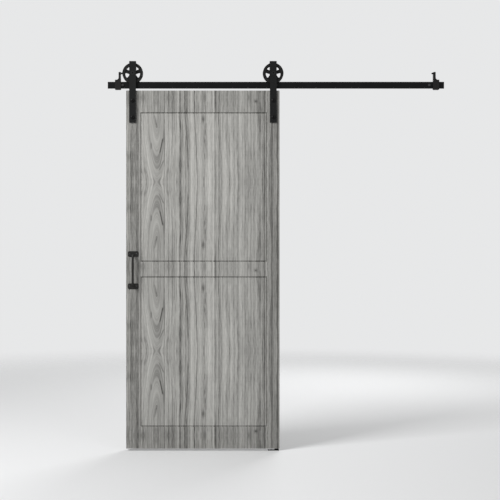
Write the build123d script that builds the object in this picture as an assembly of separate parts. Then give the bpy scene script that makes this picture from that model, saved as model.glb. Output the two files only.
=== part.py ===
from build123d import *
import math
import os

os.makedirs("parts", exist_ok=True)

# Millimetres. X runs along the rail, Y into the wall, Z up. The wall is the plane Y = 0
# and the origin is the middle fixing of the rail.

# Rail and what fixes it to the wall
RAIL_L = 2007.0
RAIL_H = 40.0
RAIL_T = 6.0
RAIL_ARRIS = 0.8
FIXING_END = 89.5
STANDOFF_L = 32.0
STANDOFF_R = 9.5
STANDOFF_CHAMFER = 0.6
LAG_R = 4.0
LAG_THREAD_R = 3.7
LAG_CLEAR = 0.3
LAG_IN_WALL = 60.0
LAG_POINT_L = 8.0
LAG_HEAD_AF = 13.0
LAG_HEAD_H = 5.3
LAG_CROWN = 0.4
WASHER_R = 8.0
WASHER_T = 1.6

# Door slab
DOOR_W = 914.0
DOOR_H = 2134.0
DOOR_T = 35.0
DOOR_ARRIS = 1.5
TOP_GAP = 13.5
FLOOR_GAP = 12.0
LEFT_STILE_W = 84.0
RIGHT_STILE_W = 72.5
END_RAIL_H = 129.0
MID_RAIL_H = 85.0
MID_RAIL_UP = 2.5
ROUT_D = 4.5
ROUT_SLOPE = 3.0
ROUT_FLOOR = 3.0
ROUT_CORNER_R = 4.0
PANEL_RECESS = 1.5
SLOT_D = 22.0
SLOT_CLEAR = 0.6

# Wheel and its bearing
WHEEL_R = 61.5
FLANGE_D = 11.0
FLANGE_T = 3.4
FLANGE_FLARE = 3.0
FLANGE_EDGE = 1.2
TREAD_CLEAR = 0.6
RIM_WALL = 6.0
RIM_BEAD = 1.0
SPOKES = 5
SPOKE_W = 21.0
WEB_T = 11.0
RIB_W = 8.0
RIB_H = 2.5
RIB_IN = 2.0
RIM_FILLET = 5.0
HUB_FILLET = 2.0
CAST_DRAFT = 6.0
HUB_WALL = 4.0
HUB_LIP = 4.0
HUB_CHAMFER = 1.0
WHEEL_ON_RAIL = 0.3
BEARING_R = 16.0
BEARING_W = 10.0
BEARING_SEAT = 0.02
OUTER_RING_T = 2.4
INNER_RING_T = 2.95
BALL_R = 2.95
BALL_CLEAR = 0.05
BALLS = 8
CAGE_T = 1.2
CAGE_W = 7.2
CAGE_CLEAR = 0.12
SHIELD_T = 0.4
SHIELD_INSET = 0.5
SHIELD_CLEAR = 0.35
CIRCLIP_T = 1.2
CIRCLIP_IN_HUB = 0.8
CIRCLIP_PROUD = 2.0
CIRCLIP_GAP = 6.0
CIRCLIP_CLEAR = 0.1

# Axle
AXLE_R = 6.0
AXLE_FIT = 0.05
AXLE_HEAD_R = 11.5
AXLE_HEAD_DOWN = 0.05
AXLE_SOCKET_AF = 8.0
AXLE_SOCKET_D = 4.0
AXLE_TAIL = 1.5
AXLE_TAIL_CHAMFER = 0.8
AXLE_NUT_AF = 19.0
AXLE_NUT_H = 5.0
AXLE_NUT_CROWN = 0.3
SPACER_WALL = 2.6

# Folded strap
STRAP_W = 40.0
STRAP_T = 6.0
STRAP_BEND_R = 4.0
STRAP_CORNER = 1.2
WHEEL_TOP_CLEAR = 4.7
WHEEL_SIDE_CLEAR = 2.5
HANGER_INSET = 38.0
FIRST_BOLT_DROP = 60.0
BOLT_PITCH = 100.0
STRAP_PAST_BOLT = 32.0

# Bolts and sleeve nuts through strap and door
BOLT_R = 5.0
BOLT_CLEAR = 0.3
BOLT_HEAD_R = 13.0
BOLT_HEAD_H = 7.0
BOLT_HEAD_RIM = 1.2
BOLT_SOCKET_AF = 8.0
BOLT_SOCKET_D = 4.0
BOLT_SHORT = 4.0
NUT_WALL = 1.95
NUT_FIT = 0.05
NUT_BARREL_L = 22.0
NUT_END_WALL = 2.0
NUT_FLANGE_R = 11.0
NUT_FLANGE_T = 3.0
NUT_FLANGE_CHAMFER = 1.0
NUT_SLOT_W = 2.0
NUT_SLOT_D = 1.5
NUT_HOLE_CLEAR = 0.1

# Handle
HANDLE_INSET = 41.5
HANDLE_DROP = 3.5
HANDLE_CC = 176.0
HANDLE_FOOT_OUT = 8.0
HANDLE_PLATE_W = 64.0
HANDLE_PLATE_H = 34.0
HANDLE_PLATE_T = 4.0
HANDLE_PLATE_R = 9.0
HANDLE_PLATE_EDGE = 2.2
HANDLE_BAR_R = 6.5
HANDLE_REACH = 38.0
HANDLE_BEND_R = 14.0
HANDLE_FOOT_FILLET = 2.0
HANDLE_SCREW_CC = 42.0
HANDLE_SCREW_R = 2.1
HANDLE_SCREW_HEAD_R = 4.2
HANDLE_SCREW_DOME = 1.3
HANDLE_SCREW_L = 26.0
HANDLE_SCREW_CLEAR = 0.3
SCREW_FIT = 0.05
SCREW_POINT_L = 5.0
CROSS_L = 4.2
CROSS_W = 1.0
CROSS_D = 1.8

# End stops
STOP_W = 36.0
STOP_WALL = 5.8
STOP_LIP = 7.2
STOP_TOE_H = 11.5
STOP_HEEL_H = 22.0
STOP_SETBACK = 1.0
STOP_SWEEP_R = 13.5
STOP_UPRIGHT_W = 13.5
STOP_OVER_AXLE = 7.2
STOP_CLEAR = 0.2
STOP_TOP_R = 3.0
STOP_FOOT_R = 5.0
STOP_EDGE = 0.8
STOP_INSET_LEFT = 43.5
STOP_INSET_RIGHT = 29.5
BUMPER_REACH = 8.5
BUMPER_H = 9.0
BUMPER_TAPER = 1.5
BUMPER_ROUND = 2.0
BUMPER_INSIDE_RIM = 1.0
BUMPER_STEM_R = 3.5
BUMPER_STEM_L = 8.0
SET_SCREW_R = 3.0
SET_SCREW_INSET = 9.0
SET_SCREW_SUNK = 0.5
SET_SOCKET_AF = 3.0
SET_SOCKET_D = 3.0
REST_GAP = 0.5

# Floor guide
GUIDE_INSET = 17.0
GUIDE_FIN_L = 24.0
GUIDE_FIN_T = 6.0
GUIDE_FIN_ROUND = 2.0
GUIDE_FIN_CHAMFER = 1.0
GUIDE_IN_SLOT = 15.0
GUIDE_BASE_L = 66.0
GUIDE_BASE_W = 28.0
GUIDE_BASE_T = 3.0
GUIDE_BASE_R = 3.0
GUIDE_TOE = 2.0
GUIDE_SCREW_CC = 20.0
GUIDE_SCREW_INSET = 11.0
GUIDE_SCREW_R = 2.2
GUIDE_THREAD_R = 1.95
GUIDE_SCREW_HEAD_R = 4.3
GUIDE_SCREW_CLEAR = 0.3
GUIDE_SCREW_L = 28.0

OVERCUT = 1.0

# Wheel section: half widths from its mid plane, and radii
TREAD_HALF = RAIL_T / 2 + TREAD_CLEAR
MOUTH_HALF = TREAD_HALF + FLANGE_FLARE
RIM_HALF = MOUTH_HALF + FLANGE_T
TREAD_R = WHEEL_R - FLANGE_D
RIM_INNER_R = TREAD_R - RIM_WALL
HUB_R = BEARING_R + HUB_WALL
HUB_HALF = BEARING_W / 2 + HUB_LIP
INNER_RING_R = AXLE_R + AXLE_FIT + INNER_RING_T
OUTER_RING_BORE = BEARING_R - OUTER_RING_T
PITCH_R = (INNER_RING_R + OUTER_RING_BORE) / 2
SPACER_R = AXLE_R + SPACER_WALL

# Depths, from the wall out
RAIL_FRONT = -(STANDOFF_L + RAIL_T)
MID_Y = RAIL_FRONT + RAIL_T / 2
STRAP_HALF = RIM_HALF + WHEEL_SIDE_CLEAR
DOOR_FRONT = MID_Y - STRAP_HALF
DOOR_BACK = DOOR_FRONT + DOOR_T
DOOR_MID_Y = DOOR_FRONT + DOOR_T / 2
STRAP_FRONT = DOOR_FRONT - STRAP_T
REAR_LEG = MID_Y + STRAP_HALF
STRAP_BACK = REAR_LEG + STRAP_T

# Heights
AXLE_Z = RAIL_H / 2 + WHEEL_ON_RAIL + TREAD_R
STRAP_TOP = AXLE_Z + WHEEL_R + WHEEL_TOP_CLEAR + STRAP_T
DOOR_TOP = -RAIL_H / 2 - TOP_GAP
DOOR_BOTTOM = DOOR_TOP - DOOR_H
DOOR_MID_Z = (DOOR_TOP + DOOR_BOTTOM) / 2
FLOOR_Z = DOOR_BOTTOM - FLOOR_GAP
GUIDE_BASE_Z = FLOOR_Z + GUIDE_BASE_T
BOLT_ZS = (DOOR_TOP - FIRST_BOLT_DROP, DOOR_TOP - FIRST_BOLT_DROP - BOLT_PITCH)
STRAP_BOTTOM = BOLT_ZS[-1] - STRAP_PAST_BOLT
MID_RAIL_Z = DOOR_MID_Z + MID_RAIL_UP
HANDLE_Z = DOOR_MID_Z - HANDLE_DROP
HANDLE_LEG_ZS = (HANDLE_Z + HANDLE_CC / 2, HANDLE_Z - HANDLE_CC / 2)
HANDLE_PLATE_ZS = (HANDLE_LEG_ZS[0] + HANDLE_FOOT_OUT, HANDLE_LEG_ZS[1] - HANDLE_FOOT_OUT)

# Places along the rail: the door rests against the left stop
STOP_REACH = STOP_W - STOP_SETBACK
SET_SCREW_AT = (SET_SCREW_INSET - STOP_SETBACK, STOP_REACH - SET_SCREW_INSET)
STOP_FACE_LEFT = -RAIL_L / 2 + STOP_INSET_LEFT + STOP_REACH
STOP_FACE_RIGHT = RAIL_L / 2 - STOP_INSET_RIGHT - STOP_REACH
HANGER_LEFT = STOP_FACE_LEFT + BUMPER_REACH + REST_GAP + WHEEL_R
DOOR_LEFT = HANGER_LEFT - HANGER_INSET
DOOR_RIGHT = DOOR_LEFT + DOOR_W
DOOR_X = (DOOR_LEFT + DOOR_RIGHT) / 2
HANGER_XS = (HANGER_LEFT, DOOR_RIGHT - HANGER_INSET)
FIXING_XS = (FIXING_END - RAIL_L / 2, 0.0, RAIL_L / 2 - FIXING_END)
HANDLE_X = DOOR_LEFT + HANDLE_INSET
HANDLE_SCREW_XS = (HANDLE_X - HANDLE_SCREW_CC / 2, HANDLE_X + HANDLE_SCREW_CC / 2)
GUIDE_FIN_X = DOOR_RIGHT - GUIDE_INSET
GUIDE_RIGHT = GUIDE_FIN_X + GUIDE_FIN_L / 2 + GUIDE_TOE
GUIDE_LEFT = GUIDE_RIGHT - GUIDE_BASE_L
GUIDE_SCREW_XS = (GUIDE_LEFT + GUIDE_SCREW_INSET, GUIDE_LEFT + GUIDE_SCREW_INSET + GUIDE_SCREW_CC)


def rod(radius, x, z, y0, y1):
    """Cylinder along Y from y0 to y1."""
    return Pos(x, (y0 + y1) / 2, z) * Rot(90, 0, 0) * Cylinder(radius, abs(y1 - y0))


def cone(r0, r1, x, z, y0, y1):
    """Frustum along Y: radius r0 at y0 and r1 at y1, with y0 < y1."""
    return Pos(x, (y0 + y1) / 2, z) * Rot(90, 0, 0) * Cone(r1, r0, y1 - y0)


def post(radius, x, y, z0, z1):
    """Cylinder along Z from z0 to z1."""
    return Pos(x, y, (z0 + z1) / 2) * Cylinder(radius, z1 - z0)


def block(x0, x1, y0, y1, z0, z1):
    return Pos((x0 + x1) / 2, (y0 + y1) / 2, (z0 + z1) / 2) * Box(x1 - x0, y1 - y0, z1 - z0)


def hex_prism(across_flats, length):
    return extrude(RegularPolygon(across_flats / math.sqrt(3), 6), length)


def hex_along_y(across_flats, x, z, y0, y1):
    return Pos(x, y1, z) * Rot(90, 0, 0) * hex_prism(across_flats, y1 - y0)


def chamfered_hex(across_flats, crown, x, z, y0, y1, outer_end):
    """Hexagon along Y with its corners turned off at 30 degrees at y0 or y1."""
    spread = (y1 - y0) * math.sqrt(3)
    small = across_flats / 2 - crown
    ends = (small, small + spread) if outer_end == y0 else (small + spread, small)
    return hex_along_y(across_flats, x, z, y0, y1) & cone(ends[0], ends[1], x, z, y0, y1)


def dome(radius, height, x, z, base):
    """Spherical cap on the plane y = base, standing towards -Y."""
    sphere_r = (radius ** 2 + height ** 2) / (2 * height)
    ball = Pos(x, base - height + sphere_r, z) * Sphere(sphere_r)
    return rod(radius, x, z, base - height, base) & ball


def front_view(points):
    """Closed outline drawn in X and Z on the plane Y = 0."""
    return make_face(Polyline(*[(x, 0, z) for x, z in points], close=True))


def track_rail():
    bar = block(-RAIL_L / 2, RAIL_L / 2, RAIL_FRONT, RAIL_FRONT + RAIL_T, -RAIL_H / 2, RAIL_H / 2)
    bar = chamfer(bar.edges().filter_by(Axis.X), RAIL_ARRIS)
    for x in FIXING_XS:
        bar -= rod(LAG_R + LAG_CLEAR, x, 0, RAIL_FRONT - OVERCUT, RAIL_FRONT + RAIL_T + OVERCUT)
    return bar


def standoff(x):
    tube = rod(STANDOFF_R, x, 0, -STANDOFF_L, 0)
    tube = chamfer(tube.edges().filter_by(GeomType.CIRCLE), STANDOFF_CHAMFER)
    return tube - rod(LAG_R + LAG_CLEAR, x, 0, -STANDOFF_L - OVERCUT, OVERCUT)


def lag_washer(x):
    seat = RAIL_FRONT - WASHER_T
    ring = rod(WASHER_R, x, 0, seat, RAIL_FRONT)
    return ring - rod(LAG_R + LAG_CLEAR, x, 0, seat - OVERCUT, RAIL_FRONT + OVERCUT)


def lag_screw(x):
    """Hexagon head, a plain shank through the rail and standoff, and a thread into the wall."""
    seat = RAIL_FRONT - WASHER_T
    front = seat - LAG_HEAD_H
    head = chamfered_hex(LAG_HEAD_AF, LAG_CROWN, x, 0, front, seat, front)
    shank = rod(LAG_R, x, 0, seat, 0)
    thread = rod(LAG_THREAD_R, x, 0, 0, LAG_IN_WALL - LAG_POINT_L)
    point = cone(LAG_THREAD_R, LAG_R / 10, x, 0, LAG_IN_WALL - LAG_POINT_L, LAG_IN_WALL)
    return head + shank + thread + point


def panel_pocket(z_top, z_bottom):
    """Routed groove round one panel, with the panel field a little below the frame."""
    x0 = DOOR_LEFT + LEFT_STILE_W
    x1 = DOOR_RIGHT - RIGHT_STILE_W
    wide = x1 - x0
    high = z_top - z_bottom
    slope = math.degrees(math.atan(ROUT_SLOPE / ROUT_D))
    middle = ((x0 + x1) / 2, DOOR_FRONT, (z_top + z_bottom) / 2)
    plane = Plane(middle, x_dir=(1, 0, 0), z_dir=(0, 1, 0))
    mouth = plane * RectangleRounded(wide, high, ROUT_CORNER_R)
    pocket = extrude(mouth, ROUT_D, taper=slope)
    foot = ROUT_SLOPE + ROUT_FLOOR
    field = plane.offset(ROUT_D) * RectangleRounded(
        wide - 2 * foot, high - 2 * foot, ROUT_CORNER_R - ROUT_SLOPE / 2
    )
    return pocket - extrude(field, -(ROUT_D - PANEL_RECESS), taper=45)


def door_slab():
    slab = block(DOOR_LEFT, DOOR_RIGHT, DOOR_FRONT, DOOR_BACK, DOOR_BOTTOM, DOOR_TOP)
    slab = chamfer(slab.edges(), DOOR_ARRIS)
    for z_top, z_bottom in (
        (DOOR_TOP - END_RAIL_H, MID_RAIL_Z + MID_RAIL_H / 2),
        (MID_RAIL_Z - MID_RAIL_H / 2, DOOR_BOTTOM + END_RAIL_H),
    ):
        pocket = panel_pocket(z_top, z_bottom)
        slab -= pocket
        slab -= mirror(pocket, Plane.XZ.offset(-DOOR_MID_Y))
    half_slot = GUIDE_FIN_T / 2 + SLOT_CLEAR
    slab -= block(
        DOOR_LEFT - OVERCUT, DOOR_RIGHT + OVERCUT, DOOR_MID_Y - half_slot, DOOR_MID_Y + half_slot,
        DOOR_BOTTOM - OVERCUT, DOOR_BOTTOM + SLOT_D,
    )
    barrel = BOLT_R + NUT_FIT + NUT_WALL + NUT_HOLE_CLEAR
    for x in HANGER_XS:
        for z in BOLT_ZS:
            slab -= rod(BOLT_R + BOLT_CLEAR, x, z, DOOR_FRONT - OVERCUT, DOOR_BACK + OVERCUT)
            slab -= rod(barrel, x, z, DOOR_BACK - NUT_BARREL_L - OVERCUT, DOOR_BACK + OVERCUT)
    depth = HANDLE_SCREW_L - HANDLE_PLATE_T + OVERCUT
    for x in HANDLE_SCREW_XS:
        for z in HANDLE_PLATE_ZS:
            slab -= rod(HANDLE_SCREW_R + SCREW_FIT, x, z, DOOR_FRONT - OVERCUT, DOOR_FRONT + depth)
    return slab


def hanger_strap(x):
    """Flat bar folded over the wheel: long leg down the door, short leg to the axle."""
    x0 = x - STRAP_W / 2
    x1 = x + STRAP_W / 2
    outer = block(x0, x1, STRAP_FRONT, STRAP_BACK, STRAP_BOTTOM, STRAP_TOP)
    outer = fillet(outer.edges().filter_by(Axis.X).group_by(Axis.Z)[-1], STRAP_BEND_R + STRAP_T)
    inner = block(
        x0 - OVERCUT, x1 + OVERCUT, DOOR_FRONT, REAR_LEG, STRAP_BOTTOM - OVERCUT, STRAP_TOP - STRAP_T
    )
    inner = fillet(inner.edges().filter_by(Axis.X).group_by(Axis.Z)[-1], STRAP_BEND_R)
    strap = outer - inner
    spare = block(
        x0 - OVERCUT, x1 + OVERCUT, REAR_LEG, STRAP_BACK + OVERCUT, STRAP_BOTTOM - OVERCUT, AXLE_Z
    )
    strap -= spare - rod(STRAP_W / 2, x, AXLE_Z, REAR_LEG - OVERCUT, STRAP_BACK + 2 * OVERCUT)
    strap = chamfer(strap.edges().filter_by(Axis.Y).group_by(Axis.Z)[0], STRAP_CORNER)
    strap -= rod(AXLE_R + AXLE_FIT, x, AXLE_Z, STRAP_FRONT - OVERCUT, STRAP_BACK + OVERCUT)
    depth = AXLE_HEAD_R - AXLE_R
    strap -= cone(AXLE_HEAD_R, AXLE_R, x, AXLE_Z, STRAP_FRONT, STRAP_FRONT + depth)
    for z in BOLT_ZS:
        strap -= rod(BOLT_R + BOLT_CLEAR, x, z, STRAP_FRONT - OVERCUT, DOOR_FRONT + OVERCUT)
    return strap


def axle_bolt(x):
    """Flush countersunk pin with a hexagon socket; its tail carries the thin nut."""
    front = STRAP_FRONT + AXLE_HEAD_DOWN
    depth = AXLE_HEAD_R - AXLE_R
    shrink = AXLE_HEAD_DOWN
    head = cone(AXLE_HEAD_R - shrink, AXLE_R - shrink, x, AXLE_Z, front, front + depth)
    tail = STRAP_BACK + AXLE_NUT_H + AXLE_TAIL
    shank = rod(AXLE_R, x, AXLE_Z, front, tail)
    shank = chamfer(shank.edges().filter_by(GeomType.CIRCLE).group_by(Axis.Y)[-1], AXLE_TAIL_CHAMFER)
    return head + shank - hex_along_y(
        AXLE_SOCKET_AF, x, AXLE_Z, front - OVERCUT, front + AXLE_SOCKET_D
    )


def axle_nut(x):
    end = STRAP_BACK + AXLE_NUT_H
    nut = chamfered_hex(AXLE_NUT_AF, AXLE_NUT_CROWN, x, AXLE_Z, STRAP_BACK, end, end)
    return nut - rod(AXLE_R + AXLE_FIT, x, AXLE_Z, STRAP_BACK - OVERCUT, end + OVERCUT)


def axle_spacer(x, y0, y1):
    ring = rod(SPACER_R, x, AXLE_Z, y0, y1)
    return ring - rod(AXLE_R + AXLE_FIT, x, AXLE_Z, y0 - OVERCUT, y1 + OVERCUT)


def ring_with_track(outer_r, bore_r, x):
    """Bearing ring hollowed by the torus that the balls run in."""
    half = BEARING_W / 2
    ring = rod(outer_r, x, AXLE_Z, MID_Y - half, MID_Y + half)
    ring -= rod(bore_r, x, AXLE_Z, MID_Y - half - OVERCUT, MID_Y + half + OVERCUT)
    track = Torus(PITCH_R, BALL_R + BALL_CLEAR)
    return ring - Pos(x, MID_Y, AXLE_Z) * Rot(90, 0, 0) * track


def bearing_balls(x):
    balls = []
    for i in range(BALLS):
        turn = 2 * math.pi * i / BALLS
        place = Pos(x + PITCH_R * math.sin(turn), MID_Y, AXLE_Z + PITCH_R * math.cos(turn))
        balls.append(place * Sphere(BALL_R))
    return balls


def bearing_cage(x):
    """Band on the pitch circle with a pocket for each ball."""
    half = CAGE_W / 2
    band = rod(PITCH_R + CAGE_T / 2, x, AXLE_Z, MID_Y - half, MID_Y + half)
    band -= rod(PITCH_R - CAGE_T / 2, x, AXLE_Z, MID_Y - half - OVERCUT, MID_Y + half + OVERCUT)
    for i in range(BALLS):
        pocket = Pos(0, 0, PITCH_R) * Cylinder(BALL_R + CAGE_CLEAR, 5 * CAGE_T)
        band -= Pos(x, MID_Y, AXLE_Z) * Rot(0, 360.0 * i / BALLS, 0) * pocket
    return band


def bearing_shield(x, side):
    face = MID_Y + side * (BEARING_W / 2 - SHIELD_INSET - SHIELD_T / 2)
    disc = rod(OUTER_RING_BORE, x, AXLE_Z, face - SHIELD_T / 2, face + SHIELD_T / 2)
    hole = rod(INNER_RING_R + SHIELD_CLEAR, x, AXLE_Z, face - OVERCUT, face + OVERCUT)
    return disc - hole


def circlip(x):
    """Spring ring behind the bearing, open at the bottom, in a groove of the hub."""
    y0 = MID_Y + BEARING_W / 2
    y1 = y0 + CIRCLIP_T
    ring = rod(BEARING_R + CIRCLIP_IN_HUB, x, AXLE_Z, y0, y1)
    ring -= rod(BEARING_R - CIRCLIP_PROUD, x, AXLE_Z, y0 - OVERCUT, y1 + OVERCUT)
    gap = CIRCLIP_GAP / 2
    return ring - block(x - gap, x + gap, y0 - OVERCUT, y1 + OVERCUT, AXLE_Z - HUB_R, AXLE_Z - AXLE_R)


def wheel_windows(x):
    """The openings between the spokes, drafted from the mid plane both ways."""
    plane = Plane((x, MID_Y, AXLE_Z), x_dir=(1, 0, 0), z_dir=(0, -1, 0))
    gaps = Circle(RIM_INNER_R) - Circle(HUB_R)
    for i in range(SPOKES):
        arm = Pos(0, RIM_INNER_R / 2) * Rectangle(SPOKE_W, RIM_INNER_R)
        gaps -= Rot(0, 0, 360.0 * i / SPOKES) * arm
    corners = gaps.vertices().sort_by_distance((0, 0, 0))
    gaps = fillet(corners[2 * SPOKES:], RIM_FILLET)
    corners = gaps.vertices().sort_by_distance((0, 0, 0))
    gaps = fillet(corners[:2 * SPOKES], HUB_FILLET)
    deep = WEB_T / 2 + OVERCUT
    cut = []
    for face in (plane * gaps).faces():
        cut.append(extrude(face, deep, taper=-CAST_DRAFT))
        cut.append(extrude(face, -deep, taper=-CAST_DRAFT))
    return cut


def spoke_ribs(x):
    """Drafted rib along the middle of each spoke, on both faces, from the hub into the rim."""
    plane = Plane((x, MID_Y, AXLE_Z), x_dir=(1, 0, 0), z_dir=(0, -1, 0))
    run = Pos(0, (HUB_R + RIM_INNER_R) / 2) * Rectangle(RIB_W, RIM_INNER_R - HUB_R + 2 * RIB_IN)
    deep = WEB_T / 2 + RIB_H
    ribs = []
    for i in range(SPOKES):
        face = plane * (Rot(0, 0, 360.0 * i / SPOKES) * run)
        ribs.append(extrude(face, deep, taper=CAST_DRAFT))
        ribs.append(extrude(face, -deep, taper=CAST_DRAFT))
    return ribs


def wheel(x):
    """Cast wheel: grooved rim, ribbed spokes and a hub bored for the bearing."""
    half = [
        (RIM_INNER_R, RIM_HALF - RIM_BEAD), (RIM_INNER_R + RIM_BEAD, RIM_HALF),
        (WHEEL_R - FLANGE_EDGE, RIM_HALF), (WHEEL_R, RIM_HALF - FLANGE_EDGE),
        (WHEEL_R, MOUTH_HALF + FLANGE_EDGE / 3), (WHEEL_R - FLANGE_EDGE / 3, MOUTH_HALF),
        (TREAD_R, TREAD_HALF),
    ]
    section = half + [(r, -u) for r, u in reversed(half)]
    face = make_face(Polyline(*[(r, MID_Y + u, 0) for r, u in section], close=True))
    rim = Pos(x, 0, AXLE_Z) * revolve(face, Axis.Y)
    web = rod(RIM_INNER_R + RIM_WALL / 2, x, AXLE_Z, MID_Y - WEB_T / 2, MID_Y + WEB_T / 2)
    for gap in wheel_windows(x):
        web -= gap
    for rib in spoke_ribs(x):
        web += rib
    hub = rod(HUB_R, x, AXLE_Z, MID_Y - HUB_HALF, MID_Y + HUB_HALF)
    hub = chamfer(hub.edges().filter_by(GeomType.CIRCLE), HUB_CHAMFER)
    body = rim + web + hub
    seat = MID_Y + BEARING_W / 2
    body -= rod(BEARING_R + BEARING_SEAT, x, AXLE_Z, MID_Y - BEARING_W / 2, MID_Y + HUB_HALF + OVERCUT)
    body -= rod(OUTER_RING_BORE, x, AXLE_Z, MID_Y - HUB_HALF - OVERCUT, MID_Y)
    groove = BEARING_R + CIRCLIP_IN_HUB + CIRCLIP_CLEAR
    return body - rod(groove, x, AXLE_Z, seat, seat + CIRCLIP_T + CIRCLIP_CLEAR)


def strap_bolt(x, z):
    """Domed socket-head bolt through the strap into the sleeve nut."""
    rim = STRAP_FRONT - BOLT_HEAD_RIM
    front = STRAP_FRONT - BOLT_HEAD_H
    head = rod(BOLT_HEAD_R, x, z, rim, STRAP_FRONT)
    head += dome(BOLT_HEAD_R, BOLT_HEAD_H - BOLT_HEAD_RIM, x, z, rim)
    shank = rod(BOLT_R, x, z, STRAP_FRONT - OVERCUT, DOOR_BACK - BOLT_SHORT)
    return head + shank - hex_along_y(BOLT_SOCKET_AF, x, z, front - OVERCUT, front + BOLT_SOCKET_D)


def strap_nut(x, z):
    """Sleeve nut let into the back of the door, with a thin flange and a slot."""
    bore = BOLT_R + NUT_FIT
    end = DOOR_BACK + NUT_FLANGE_T
    flange = rod(NUT_FLANGE_R, x, z, DOOR_BACK, end)
    rim = flange.edges().filter_by(GeomType.CIRCLE).group_by(Axis.Y)[-1]
    nut = chamfer(rim, NUT_FLANGE_CHAMFER) + rod(bore + NUT_WALL, x, z, DOOR_BACK - NUT_BARREL_L, DOOR_BACK)
    nut -= rod(bore, x, z, DOOR_BACK - NUT_BARREL_L - OVERCUT, DOOR_BACK - NUT_END_WALL)
    reach = NUT_FLANGE_R + OVERCUT
    half = NUT_SLOT_W / 2
    return nut - block(x - reach, x + reach, end - NUT_SLOT_D, end + OVERCUT, z - half, z + half)


def handle():
    """Round bar bent to a pull, cast in one with the plate at each foot."""
    front = DOOR_FRONT - HANDLE_PLATE_T
    run = FilletPolyline(
        (HANDLE_X, front, HANDLE_LEG_ZS[0]),
        (HANDLE_X, DOOR_FRONT - HANDLE_REACH, HANDLE_LEG_ZS[0]),
        (HANDLE_X, DOOR_FRONT - HANDLE_REACH, HANDLE_LEG_ZS[1]),
        (HANDLE_X, front, HANDLE_LEG_ZS[1]),
        radius=HANDLE_BEND_R,
    )
    section = Plane((HANDLE_X, front, HANDLE_LEG_ZS[0]), z_dir=(0, -1, 0)) * Circle(HANDLE_BAR_R)
    pull = sweep(section, path=run)
    depth = HANDLE_SCREW_HEAD_R - HANDLE_SCREW_R
    hole = HANDLE_SCREW_R + HANDLE_SCREW_CLEAR
    for z in HANDLE_PLATE_ZS:
        plane = Plane((HANDLE_X, DOOR_FRONT, z), x_dir=(1, 0, 0), z_dir=(0, -1, 0))
        outline = plane * RectangleRounded(HANDLE_PLATE_W, HANDLE_PLATE_H, HANDLE_PLATE_R)
        plate = extrude(outline, HANDLE_PLATE_T)
        pull += chamfer(plate.faces().sort_by(Axis.Y)[0].edges(), HANDLE_PLATE_EDGE)
    rings = pull.edges().filter_by(GeomType.CIRCLE)
    feet = [e for e in rings if abs(e.center().Y - front) < 0.01 and abs(e.radius - HANDLE_BAR_R) < 0.01]
    pull = fillet(feet, HANDLE_FOOT_FILLET)
    for z in HANDLE_PLATE_ZS:
        for x in HANDLE_SCREW_XS:
            pull -= rod(hole, x, z, front - OVERCUT, DOOR_FRONT + OVERCUT)
            pull -= cone(hole + depth, hole, x, z, front, front + depth)
    return pull


def cross_recess(length, width, depth):
    """Two crossed bars, centred on the origin, for a driver: the recess lies along Z."""
    return Box(length, width, 2 * depth) + Box(width, length, 2 * depth)


def handle_screw(x, z):
    """Raised countersunk wood screw with a cross recess."""
    front = DOOR_FRONT - HANDLE_PLATE_T
    depth = HANDLE_SCREW_HEAD_R - HANDLE_SCREW_R
    end = front + HANDLE_SCREW_L
    screw = cone(HANDLE_SCREW_HEAD_R, HANDLE_SCREW_R, x, z, front, front + depth)
    screw += dome(HANDLE_SCREW_HEAD_R, HANDLE_SCREW_DOME, x, z, front)
    screw += rod(HANDLE_SCREW_R, x, z, front, end - SCREW_POINT_L)
    screw += cone(HANDLE_SCREW_R, HANDLE_SCREW_R / 8, x, z, end - SCREW_POINT_L, end)
    recess = cross_recess(CROSS_L, CROSS_W, CROSS_D)
    return screw - Pos(x, front - HANDLE_SCREW_DOME, z) * Rot(90, 0, 0) * recess


def stop_body(face, out):
    """Block that slides on to the rail's end, with the upright that carries the bumper.

    face is the upright's side towards the door, and out points away from the door.
    """
    low = -RAIL_H / 2 - STOP_LIP
    toe = RAIL_H / 2 + STOP_TOE_H
    top = AXLE_Z + STOP_OVER_AXLE
    outline = [
        (-STOP_SETBACK, low), (STOP_REACH, low), (STOP_REACH, toe), (STOP_UPRIGHT_W, toe),
        (STOP_UPRIGHT_W, top), (0, top), (0, RAIL_H / 2 + STOP_HEEL_H),
        (-STOP_SETBACK, RAIL_H / 2 + STOP_SETBACK),
    ]
    half = RAIL_T / 2 + STOP_CLEAR
    solid = extrude(front_view([(face + out * a, z) for a, z in outline]), half + STOP_WALL, both=True)
    corner = solid.edges().filter_by(Axis.Y).sort_by_distance((face + out * STOP_UPRIGHT_W, 0, toe))[0]
    solid = fillet(corner, STOP_SWEEP_R)
    rows = solid.edges().filter_by(Axis.Y).group_by(Axis.Z)
    solid = fillet(rows[0], STOP_FOOT_R)
    rows = solid.edges().filter_by(Axis.Y).group_by(Axis.Z)
    solid = fillet(rows[-1], STOP_TOP_R)
    solid = Pos(0, MID_Y, 0) * chamfer(solid.faces().sort_by(Axis.Y)[0].edges(), STOP_EDGE)
    x0, x1 = sorted((face - out * (STOP_SETBACK + OVERCUT), face + out * (STOP_REACH + OVERCUT)))
    gap = RAIL_H / 2 + SET_SCREW_SUNK
    solid -= block(x0, x1, MID_Y - half, MID_Y + half, -gap, RAIL_H / 2)
    for a in SET_SCREW_AT:
        solid -= post(SET_SCREW_R + SCREW_FIT, face + out * a, MID_Y, low - OVERCUT, -RAIL_H / 2)
    deep = BUMPER_STEM_L + SET_SCREW_SUNK
    hole = Rot(0, 90, 0) * Cylinder(BUMPER_STEM_R + SCREW_FIT, 2 * deep)
    return solid - Pos(face, MID_Y, AXLE_Z) * hole


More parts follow.
